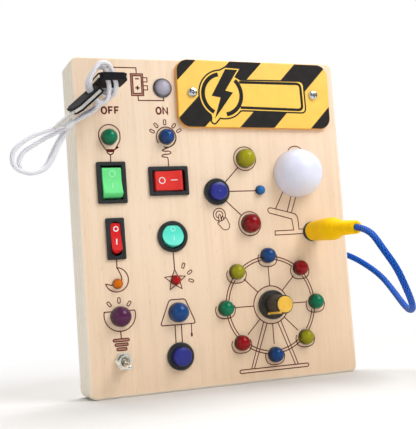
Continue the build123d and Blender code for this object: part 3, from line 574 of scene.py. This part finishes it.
def make_plug():
    """The moulding: lathed outline of (distance from the face, radius), with grooves cut into its strain relief."""
    outline = [(2.3, 5.0), (2.6, 5.2), (10, 5.6), (21, 5.95), (23, 5.95), (25.2, 5.75), (27.5, 5.1), (29.8, 4.35),
               (31, 4.1), (33, 3.9), (46, 3.45), (47, 3.3), (PLUG_LENGTH, 2.9)]
    heights = [2.3 + 0.2 * k for k in range(227)]
    # the bore round the pin first, then the outside, then the hole for the cord
    rows = [(h, PLUG_BORE) for h in (5.0, 2.3)] + [(h, None) for h in heights] + [(PLUG_LENGTH, 1.75), (46, 1.7)]
    verts, faces, sides = [], [], 48
    for h, r in rows:
        if r is None:
            for (low, a), (high, b) in zip(outline, outline[1:]):
                if low <= h <= high + 1e-6:
                    r = a + (b - a) * (h - low) / (high - low)
            for groove in (30.6, 33.0, 35.6, 38.2, 40.9, 43.7):
                r -= 0.6 * math.exp(-((h - groove) / 0.65) ** 2)
        for j in range(sides):
            a = TAU * j / sides
            verts.append((PLUG_X + r * math.cos(a), FACE - h, PLUG_Z + plug_droop(h) + r * math.sin(a)))
    for i in range(len(rows) - 1):
        for j in range(sides):
            k = (j + 1) % sides
            faces.append((i * sides + j, i * sides + k, (i + 1) * sides + k, (i + 1) * sides + j))
    faces.append(tuple(range(sides - 1, -1, -1)))
    faces.append(tuple((len(rows) - 1) * sides + j for j in range(sides)))
    plug = new_object("plug_moulding", verts, faces, smooth=True)
    plug.data.set_sharp_from_angle(angle=math.radians(50))
    plug.data.materials.append(PLUG_YELLOW)
    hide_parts("plug_shell")
    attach(plug, "plug")
    return plug


plug_piece = make_plug()


# ---- drawing on the face -----------------------------------------------------------------
def arc(centre, radius, start, end):
    """Points along an arc, angles in degrees above +X."""
    count = max(4, math.ceil(abs(end - start) / 6))
    steps = [math.radians(start + (end - start) * k / count) for k in range(count + 1)]
    return [(centre[0] + radius * math.cos(a), centre[1] + radius * math.sin(a)) for a in steps]


def ring(centre, radius):
    """Closed outline of a circle."""
    return arc(centre, radius, 0, 360)[:-1]


def pill(centre, length, width, angle):
    """Closed outline of a bar with round ends, lying at an angle."""
    a = math.radians(angle)
    reach = (length - width) / 2
    out = []
    for side in (1, -1):
        middle = (centre[0] + side * reach * math.cos(a), centre[1] + side * reach * math.sin(a))
        first = angle - 90 if side == 1 else angle + 90
        out += arc(middle, width / 2, first, first + 180)
    return out


def soft(points):
    """Smooth line through all the points."""
    last = len(points) - 1
    parts = 5
    out = []
    for i in range(last):
        p = [points[max(0, min(last, i + k))] for k in (-1, 0, 1, 2)]
        for j in range(parts):
            t = j / parts
            out.append(tuple(
                0.5 * (2 * b + (c - a) * t + (2 * a - 5 * b + 4 * c - d) * t ** 2 + (3 * b - a - 3 * c + d) * t ** 3)
                for a, b, c, d in zip(*p)
            ))
    out.append(points[-1])
    return out


def corner_round(points, radius, closed=True):
    """Outline with each corner turned into a small arc."""
    out, n = [], len(points)
    for i in range(n):
        if not closed and i in (0, n - 1):
            out.append(points[i])
            continue
        a, b, c = (Vector(points[(i + k) % n]) for k in (-1, 0, 1))
        one, two = (a - b), (c - b)
        cut = min(radius, one.length / 2.1, two.length / 2.1)
        start, end = b + one.normalized() * cut, b + two.normalized() * cut
        for k in range(5):
            t = k / 4
            out.append(tuple(start * (1 - t) ** 2 + b * (2 * t * (1 - t)) + end * t ** 2))
    return out


class Drawing:
    """Thin strokes and patches that lie on a surface which faces -Y, gathered into one mesh."""

    def __init__(self, surface=lambda x, z: FACE, proud=0.05, sunk=0.15, weight=1.0):
        self.verts, self.faces = [], []
        self.surface, self.proud, self.sunk, self.weight = surface, proud, sunk, weight

    def put(self, x, z, raised):
        """Index of a new point just in front of the surface, or just behind it."""
        self.verts.append((x, self.surface(x, z) + (-self.proud if raised else self.sunk), z))
        return len(self.verts) - 1

    def stroke(self, points, width, closed=False):
        """Flat line of one width along the points, with mitred corners."""
        line = [Vector(p) for p in points]
        line = [p for i, p in enumerate(line) if i == 0 or (p - line[i - 1]).length > 1e-4]
        if closed and (line[0] - line[-1]).length < 1e-4:
            line.pop()
        n = len(line)
        rows = []
        for i, spot in enumerate(line):
            before = line[i - 1] if closed or i else None
            after = line[(i + 1) % n] if closed or i < n - 1 else None
            one = (spot - before).normalized() if before is not None else None
            two = (after - spot).normalized() if after is not None else None
            one, two = one or two, two or one
            normal = Vector((-(one.y + two.y), one.x + two.x))
            if normal.length < 1e-6:
                normal = Vector((-one.y, one.x))
            normal.normalize()
            grow = 1 / max(0.5, normal.dot(Vector((-one.y, one.x))))
            off = normal * (self.weight * width / 2 * grow)
            rows.append([
                self.put(*(spot + off), True), self.put(*(spot - off), True),
                self.put(*(spot - off), False), self.put(*(spot + off), False),
            ])
        for i in range(n if closed else n - 1):
            a, b = rows[i], rows[(i + 1) % n]
            for k in range(4):
                m = (k + 1) % 4
                self.faces.append((a[k], a[m], b[m], b[k]))
        if not closed:
            self.faces += [tuple(reversed(rows[0])), tuple(rows[-1])]
        return self

    def patch(self, outline):
        """Filled outline, which goes round anticlockwise as seen from the front."""
        area = sum(a[0] * b[1] - b[0] * a[1] for a, b in zip(outline, outline[1:] + outline[:1]))
        if area < 0:
            outline = outline[::-1]
        top = [self.put(x, z, True) for x, z in outline]
        low = [self.put(x, z, False) for x, z in outline]
        n = len(outline)
        self.faces.append(tuple(top))
        self.faces.append(tuple(reversed(low)))
        for i in range(n):
            j = (i + 1) % n
            self.faces.append((top[j], top[i], low[i], low[j]))
        return self

    def make(self, name, finish, body="board", slot=None):
        """The finished object, riding on its body."""
        made = new_object(name, self.verts, self.faces)
        made.data.materials.append(finish)
        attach(made, body)
        return made


# widths of the engraved lines
LINE, THIN = 0.45, 0.42


def engraving():
    """A new drawing of burnt lines on the face, which char has widened a little."""
    return Drawing(weight=1.2)


def rays(drawing, *spots):
    """Short round-ended bars, as (middle, angle)."""
    for spot, angle in spots:
        drawing.stroke(pill(spot, 2.7, 1.3, angle), 0.4, closed=True)


# key switch and battery
d = engraving()
d.stroke([(-57, 159.6), (-57, 165.4), (-40, 165.4), (-40, 162.2)], LINE)
d.stroke([(-43.2, 150.9), (-36.7, 150.9), (-36.7, 162.3), (-43.2, 162.3)], THIN, closed=True)
d.stroke([(-42.1, 152.1), (-37.6, 152.1), (-37.6, 161.2), (-42.1, 161.2)], THIN, closed=True)
for z in (159.2, 155.0):
    d.stroke([(-36.6, z + 1.1), (-34.5, z + 1.1), (-34.5, z - 1.1), (-36.6, z - 1.1)], THIN)
d.stroke([(-40.8, 159.7), (-38.8, 159.7)], 0.6)
d.stroke([(-40.9, 154.9), (-38.7, 154.9)], 0.6).stroke([(-39.8, 156.0), (-39.8, 153.8)], 0.6)
d.stroke([(-39.8, 150.8), (-39.8, 148.4), (-26.2, 148.4), (-26.2, 149.8)], LINE)
d.make("engraved_battery", BURNT)
d = Drawing(proud=0.02)
d.stroke([(-42.65, 151.5), (-37.15, 151.5), (-37.15, 161.75), (-42.65, 161.75)], 0.6, closed=True)
PALE_BURN = plastic("engraved_pale", (0.40, 0.20, 0.14), 0.7, 0.00003, 0.2)
d.make("engraved_battery_shell", PALE_BURN)

# bulb over the green switch
d = engraving()
glass = [(-60.0, 125.4), (-61.1, 127.4), (-61.7, 129.6), *arc((-56.2, 130.2), 5.6, 172, 8)[1:-1],
         (-50.7, 129.6), (-51.0, 127.6), (-52.1, 125.6)]
d.stroke([(-58.6, 123.1), *soft(glass), (-53.7, 123.1)], LINE)
d.stroke([(-53.6, 123.3), (-51.9, 124.4)], 0.7)
d.patch([(-58.8, 123.3), (-53.5, 123.3), (-54.4, 121.7), (-58.0, 121.7)])
d.stroke(soft([(-58.0, 121.6), (-57.2, 120.9), (-56.3, 120.5), (-55.3, 120.8), (-54.5, 121.6)]), 0.5)
d.stroke([(-56.3, 120.5), (-56.3, 116.6)], LINE)
d.make("engraved_bulb", BURNT)

# ringed lamp with its filament over the red switch
d = engraving()
d.stroke(arc((-26.2, 129.2), 5.3, -110, 215), LINE)
d.stroke(soft([(-20.9, 128.6), (-22.4, 125.7), (-24.8, 124.1), (-27.3, 123.2), (-28.7, 122.4), (-27.6, 121.9),
               (-25.2, 121.9), (-24.2, 121.1), (-25.4, 120.4), (-28.0, 120.2), (-29.2, 119.5), (-28.3, 118.9),
               (-26.5, 118.7), (-26.0, 117.6), (-26.0, 114.0)]), LINE)
rays(d, ((-33.6, 132.4), -28), ((-31.3, 135.4), -50), ((-26.5, 137.0), 90),
     ((-21.7, 135.2), 50), ((-19.1, 132.6), 28))
d.make("engraved_filament", BURNT)

# moon and star
d = engraving()
d.stroke([(-56.5, 67.6), (-56.6, 63.6)], LINE)
d.stroke(arc((-57.1, 57.7), 6.0, 85, -163), LINE)
d.stroke(soft([(-56.6, 63.7), (-55.1, 60.6), (-54.5, 57.8), (-55.7, 55.4), (-58.9, 55.0), (-62.9, 56.0)]), LINE)
d.make("engraved_moon", BURNT)
d = engraving()
d.stroke([(-26.7, 69.8), (-26.6, 61.0)], LINE)
star = [(-26.6, 61.0), (-21.1, 57.4), (-23.3, 51.1), (-29.7, 51.0), (-32.1, 57.4)]
middle = (-26.6, 55.6)
outline = []
for k, tip in enumerate(star):
    a = math.radians(90 - 72 * k - 36)
    outline += [tip, (middle[0] + 2.55 * math.cos(a), middle[1] + 2.55 * math.sin(a))]
d.stroke(outline, LINE, closed=True)
rays(d, ((-21.8, 62.8), 68), ((-18.6, 59.2), 38), ((-18.1, 54.9), -22))
d.make("engraved_star", BURNT)

# bulb over the toggle, its screw base as (z, left, right)
SCREW_BASE = ((28.0, -60.8, -52.6), (25.8, -60.0, -53.3), (23.6, -59.2, -54.0))
d = engraving()
d.stroke([(-48.8, 42.2), (-64.4, 42.2), *arc((-56.6, 40.3), 8.0, 168, 372)[1:]], LINE)
rays(d, ((-61.7, 45.9), -55), ((-56.6, 47.5), 90), ((-51.6, 45.6), 52))
d.stroke([(-56.7, 32.2), (-56.6, 28.6)], LINE)
for z, left, right in SCREW_BASE:
    d.stroke(pill(((left + right) / 2, z), right - left, 1.35, 0), THIN, closed=True)
d.make("engraved_night_bulb", BURNT)
d = Drawing(proud=0.02)
for z, left, right in SCREW_BASE:
    d.patch(pill(((left + right) / 2, z), right - left - 0.3, 1.0, 0))
d.make("engraved_screw_base", PALE_BURN)

# shade over the low button
d = engraving()
d.stroke(corner_round([(-30.6, 45.9), (-22.1, 45.9), (-17.2, 33.2), (-36.1, 33.2)], 1.5), LINE, closed=True)
for x in (-28.4, -25.0):
    d.stroke([(x, 33.2), (x - 0.1, 24.0)], LINE)
d.stroke([(-19.6, 33.2), (-19.8, 28.4)], 0.4)
d.patch(pill((-19.8, 27.6), 2.1, 1.0, 90))
d.make("engraved_shade", BURNT)

# circuit of the middle button
d = engraving()
for centre in ((16.8, 117.4), (16.9, 82.7)):
    d.stroke(ring(centre, 6.35), THIN, closed=True)
d.stroke([(4.2, 104.7), (12.5, 112.8)], LINE)
d.stroke([(6.2, 100.2), (22.0, 100.1)], LINE)
d.stroke([(4.2, 95.3), (12.5, 87.2)], LINE)
d.stroke(ring((0.0, 88.1), 3.35), THIN, closed=True)
d.stroke(arc((0.0, 88.1), 1.9, -75, 250), 0.4)
d.stroke(soft([(-0.4, 84.9), (-0.5, 87.3), (0.1, 88.2), (0.7, 87.4), (0.9, 85.2), (1.2, 86.6), (2.0, 86.8), (2.3, 85.6),
               (3.0, 86.4), (3.9, 86.0), (4.6, 84.6), (5.2, 82.6), (4.9, 80.8), (3.2, 80.0), (1.4, 80.5),
               (0.0, 82.2), (-1.1, 83.3), (-0.9, 84.3), (-0.2, 83.8)]), 0.38)
d.make("engraved_press", BURNT)

# desk lamp round the dome
d = engraving()
d.stroke(soft([(42.6, 121.6), (44.2, 123.2), (46.8, 123.9), (49.3, 123.3), (51.0, 121.7)]), THIN)
d.stroke([(38.2, 100.2), (32.4, 89.9)], THIN)
d.stroke([(42.9, 98.5), (39.3, 88.3)], THIN).stroke([(45.7, 97.7), (41.8, 87.9)], THIN)
d.stroke([(49, 78.6), (45.4, 78.6), *soft([(45.4, 80.4), (45.1, 84.8), (43.9, 86.9)]), (40.9, 87.8),
          *soft([(30.2, 90.6), (28.5, 90.5), (27.9, 89.2), (28.8, 87.9)]), (41.6, 84.3), (42.3, 78.3), (31.2, 78.2),
          (31.1, 76.0), (48.2, 76.1)], THIN)
d.make("engraved_desk_lamp", BURNT)

# big wheel round the dial: cabins under the lamps, spokes, and a double rim between the lamps
HUB, HUB_RADIUS, LAMP_RADIUS, SPOKE_END, RIM_RADII = (25.5, 39.4), 9.9, 26, 20.5, (25.5, 24.0)
CABIN = [(-4.9, 0.8), (-5.4, -0.6), (-5.45, -1.9), (-4.6, -4.3), (-2.4, -5.6), (0, -5.85),
         (2.4, -5.6), (4.6, -4.3), (5.45, -1.9), (5.4, -0.6), (4.9, 0.8)]


def from_hub(radius, angle):
    a = math.radians(angle)
    return (HUB[0] + radius * math.cos(a), HUB[1] + radius * math.sin(a))


d = engraving()
for k in range(8):
    angle = 90 - 45 * k
    lamp = from_hub(LAMP_RADIUS, angle)
    # the left cabin and the lower three sit a little closer to their lamps
    lift = 0 if k in (7, 0, 1, 2) else 0.6
    d.stroke(soft([(lamp[0] + x, lamp[1] + z + lift) for x, z in CABIN]), THIN)
    d.stroke([from_hub(HUB_RADIUS, angle), from_hub(SPOKE_END, angle)], THIN)
    for radius in RIM_RADII:
        d.stroke(arc(HUB, radius, angle - 9, angle - 36), 0.46)
d.stroke(ring(HUB, HUB_RADIUS), LINE, closed=True)
for foot, top in (
    ((11.6, 7.2), (20.4, 30.7)), ((13.2, 7.2), (22.3, 29.9)),
    ((36.9, 7.1), (28.6, 29.9)), ((38.6, 7.1), (30.4, 30.7)),
):
    d.stroke([foot, top], THIN)
d.stroke(pill((24.8, 6.3), 39.6, 1.75, 0), LINE, closed=True)
d.make("engraved_wheel", BURNT)

# generic OFF and ON beside the key switch
d = engraving()


def letter(drawing, kind, x, z):
    """One bold capital with its lower left corner at (x, z)."""
    wide, tall, bold = 2.5, 3.4, 0.72
    if kind == "O":
        drawing.stroke([(x + wide / 2 * (1 + math.cos(a)), z + tall / 2 * (1 + math.sin(a)))
                        for a in (TAU * k / 20 for k in range(20))], bold, closed=True)
    elif kind == "F":
        drawing.stroke([(x + wide * 0.8, z + tall), (x, z + tall), (x, z)], bold)
        drawing.stroke([(x, z + tall * 0.52), (x + wide * 0.68, z + tall * 0.52)], bold)
    elif kind == "N":
        drawing.stroke([(x, z), (x, z + tall), (x + wide * 0.92, z), (x + wide * 0.92, z + tall)], bold)


for kind, x in (("O", -59.4), ("F", -55.6), ("F", -52.5), ("O", -30.6), ("N", -26.9)):
    letter(d, kind, x, 141.4)
d.make("engraved_off_on", BURNT)


# ---- I and O on the rockers ---------------------------------------------------------------
def skin(node):
    """Where a node's surface lies, seen from the front: y for (x, z), in mm."""
    mesh = CAD[node].data
    tree = BVHTree.FromPolygons([v.co for v in mesh.vertices], [p.vertices for p in mesh.polygons])

    def depth(x, z):
        hit = tree.ray_cast(Vector((x * MM, -0.2, z * MM)), Vector((0, 1, 0)))[0]
        return hit.y / MM if hit else FACE
    return depth


def fine_line(a, b):
    """Straight line with enough points to follow a curved surface."""
    return [(a[0] + (b[0] - a[0]) * k / 8, a[1] + (b[1] - a[1]) * k / 8) for k in range(9)]


# rocker and its slot; centre, radius and line of the O; ends and line of the I; colour
MARKS = [
    ("rocker_green", "rocker_green", (-56.3, 110.6), 1.75, 0.5, (-56.6, 105.9), (-56.5, 103.3), 0.5, "pale_green"),
    ("rocker_red", "rocker_red", (-30.4, 106.6), 1.75, 0.45, (-25.9, 106.6), (-22.6, 106.6), 0.45, "mark_white"),
    ("rocker_slim", "rocker_red", (-56.2, 82.9), 1.4, 0.55, (-56.25, 77.9), (-56.55, 75.0), 0.6, "mark_white"),
    ("rocker_round", "rocker_teal", (-26.4, 81.6), 1.35, 0.45, (-26.2, 78.3), (-26.3, 75.8), 0.5, "pale_teal"),
]
PALE = {
    "mark_white": MARK_WHITE,
    "pale_green": plastic("mark_pale_green", (0.36, 0.88, 0.48), 0.45),
    "pale_teal": plastic("mark_pale_teal", (0.36, 0.90, 0.78), 0.45),
}
for body, slot, middle, size, thick, top, low, wide, tone in MARKS:
    d = Drawing(skin(body), proud=0.035, sunk=0.15)
    d.stroke(ring(middle, size - thick / 2), thick, closed=True)
    d.stroke(fine_line(top, low), wide)
    d.make(body + "_marks", PALE[tone], body=body, slot=slot)


# ---- print on the battery cover ----------------------------------------------------------
COVER, COVER_W, COVER_H, COVER_R, COVER_TURN = (24.9, 151.5), 88.4, 36.2, 6.5, math.radians(-0.9)


def rounded_box(centre, w, h, r, turn):
    """Outline of a turned rectangle with round corners."""
    out = []
    for sx, sz, start in ((1, 1, 0), (-1, 1, 90), (-1, -1, 180), (1, -1, 270)):
        out += arc((sx * (w / 2 - r), sz * (h / 2 - r)), r, start, start + 90)
    c, s = math.cos(turn), math.sin(turn)
    return [(centre[0] + x * c - z * s, centre[1] + x * s + z * c) for x, z in out]


def clip(outline, border):
    """Part of a convex outline that lies inside a convex border, both anticlockwise."""
    for a, b in zip(border, border[1:] + border[:1]):
        def side(p):
            return (b[0] - a[0]) * (p[1] - a[1]) - (b[1] - a[1]) * (p[0] - a[0])
        out = []
        for p, q in zip(outline, outline[1:] + outline[:1]):
            if side(p) >= 0:
                out.append(p)
            if side(p) * side(q) < 0:
                t = side(p) / (side(p) - side(q))
                out.append((p[0] + (q[0] - p[0]) * t, p[1] + (q[1] - p[1]) * t))
        outline = out
    return outline


def layer(height):
    """Print on the plate; layers that overlap lie at different heights."""
    return Drawing(lambda x, z: FACE - PLATE_RISE, proud=height, sunk=0.1)


# the layers of print stop this far inside the plate's edge; its material carries the stripes on
MARGIN = 0.55
PRINT_EDGE = rounded_box(COVER, COVER_W - 2 * MARGIN, COVER_H - 2 * MARGIN, COVER_R - MARGIN, COVER_TURN)
STRIPES = [
    [(-40, 137.6), (-7.0, 170.6), (-40, 170.6)],
    [(-27.3, 130.8), (-8.6, 130.8), (31.6, 171), (12.7, 171)],
    [(10.9, 129.8), (30.9, 129.8), (71.4, 171), (51.6, 171)],
    [(53.2, 129.8), (72, 129.8), (72, 148.6)],
]
d = layer(0.03)
for stripe in STRIPES:
    d.patch(clip(stripe, PRINT_EDGE))
d.make("printed_stripes", PRINT_BLACK, slot="yellow_plate")

RING = (5.7, 151.5)
BADGE = [
    *arc(RING, 13.1, 92, 236), (-1.2, 138.9), *soft([(-1.7, 137.2), (-0.6, 135.9), (0.9, 136.0), (3.5, 138.7)]),
    *soft([(5.6, 138.4), (9.4, 138.8), (12.8, 140.2), (15.6, 142.6)]), (16.8, 142.8),
    *corner_round([(16.8, 142.8), (54.2, 141.7), (54.0, 159.4), (17.0, 159.4)], 3.0, closed=False)[1:],
    (13.9, 161.1), (17.3, 165.8), (8.3, 166.3),
]
layer(0.05).patch(BADGE).make("printed_ground", PRINT_YELLOW, slot="yellow_plate")
d = layer(0.07)
d.stroke(BADGE, 0.8, closed=True)
d.stroke(arc(RING, 10.85, 99, 241), 2.2)
d.stroke(arc(RING, 10.85, 279, 405), 2.2)
d.make("printed_lines", PRINT_BLACK, slot="yellow_plate")
d = layer(0.08)
d.stroke(corner_round([(15.6, 144.5), (52.2, 143.4), (52.0, 157.9), (15.8, 158.2)], 2.6, closed=False), 1.45)
d.make("printed_label_border", PRINT_BLACK, slot="yellow_plate")
d = layer(0.09)
d.patch([(8.4, 165.2), (-0.4, 150.7), (4.6, 149.8), (0.5, 138.4), (11.9, 152.6), (7.6, 153.6), (15.3, 164.9)])
d.make("printed_bolt", PRINT_BLACK, slot="yellow_plate")


# ---- lights, floor, background -----------------------------------------------------------
def area_light(name, spot, aim, size, power, color=(1, 1, 1)):
    """Square lamp at a spot in metres that shines towards aim."""
    data = bpy.data.lights.new(name, "AREA")
    data.shape, data.size, data.energy, data.color = "SQUARE", size, power, color
    made = bpy.data.objects.new(name, data)
    made.location = spot
    made.rotation_mode = "QUATERNION"
    made.rotation_quaternion = (Vector(aim) - Vector(spot)).to_track_quat("-Z", "Y")
    bpy.context.scene.collection.objects.link(made)


area_light("key_light", (0.28, -0.40, 0.53), (0, 0, 0.1), 0.4, 3.15)
area_light("fill_light", (-1.1, -0.6, 0.55), (0, 0, 0.08), 0.7, 2.3, (1.0, 0.94, 0.86))
area_light("top_light", (0.05, 0.26, 1.0), (0, 0, 0), 0.5, 8.5)


def make_world():
    """White backdrop behind the object, a dimmer room in front of it, plain soft light all round."""
    world = bpy.data.worlds.new("world")
    world.use_nodes = True
    tree = world.node_tree
    ground = tree.nodes["Background"]
    ground.inputs["Color"].default_value = (1, 1, 1, 1)

    def node(kind, **settings):
        made = tree.nodes.new("ShaderNode" + kind)
        for key, value in settings.items():
            setattr(made, key, value)
        return made

    def choose(switch, off, on):
        """Float that is off or on by a 0 to 1 switch."""
        made = node("Mix", data_type="FLOAT")
        tree.links.new(switch, made.inputs[0])
        for place, item in ((made.inputs[2], off), (made.inputs[3], on)):
            if isinstance(item, float):
                place.default_value = item
            else:
                tree.links.new(item, place)
        return made.outputs[0]

    path = node("LightPath")
    split = node("SeparateXYZ")
    tree.links.new(node("TexCoord").outputs["Generated"], split.inputs[0])
    room = node("MapRange", interpolation_type="SMOOTHSTEP")
    for key, number in (("From Min", -0.5), ("From Max", 0.35), ("To Min", 0.07), ("To Max", 1.0)):
        room.inputs[key].default_value = number
    tree.links.new(split.outputs["Y"], room.inputs["Value"])
    strength = choose(path.outputs["Is Glossy Ray"], 0.36, room.outputs["Result"])
    strength = choose(path.outputs["Is Transmission Ray"], strength, 1.0)
    strength = choose(path.outputs["Is Camera Ray"], strength, 1.0)
    tree.links.new(strength, ground.inputs["Strength"])
    bpy.context.scene.world = world


make_world()


def make_floor():
    """White floor that keeps the shadow near the object and fades into the backdrop further out."""
    side = 6000
    corners = [(-side, -side, 0), (side, -side, 0), (side, side, 0), (-side, side, 0)]
    floor = new_object("floor", corners, [(0, 1, 2, 3)])
    paint = Paint("floor", (0.70, 0.688, 0.672), 0.9)
    far = paint.node("VectorMath", operation="LENGTH")
    paint.link(paint.spots, far.inputs[0])
    away = paint.reach(far.outputs["Value"], 0.13, 0.34)
    path = paint.node("LightPath")
    shown = paint.math("MAXIMUM", path.outputs["Is Camera Ray"], path.outputs["Is Glossy Ray"])
    glow = paint.node("Emission")
    glow.inputs["Color"].default_value = (1, 1, 1, 1)
    blend = paint.node("MixShader")
    paint.link(paint.math("MULTIPLY", away, shown), blend.inputs["Fac"])
    paint.link(paint.shader.outputs["BSDF"], blend.inputs[1])
    paint.link(glow.outputs["Emission"], blend.inputs[2])
    out = [n for n in paint.tree.nodes if n.type == "OUTPUT_MATERIAL"][0]
    paint.link(blend.outputs["Shader"], out.inputs["Surface"])
    floor.data.materials.append(paint.material)


make_floor()
bpy.context.scene.view_settings.view_transform = "Standard"
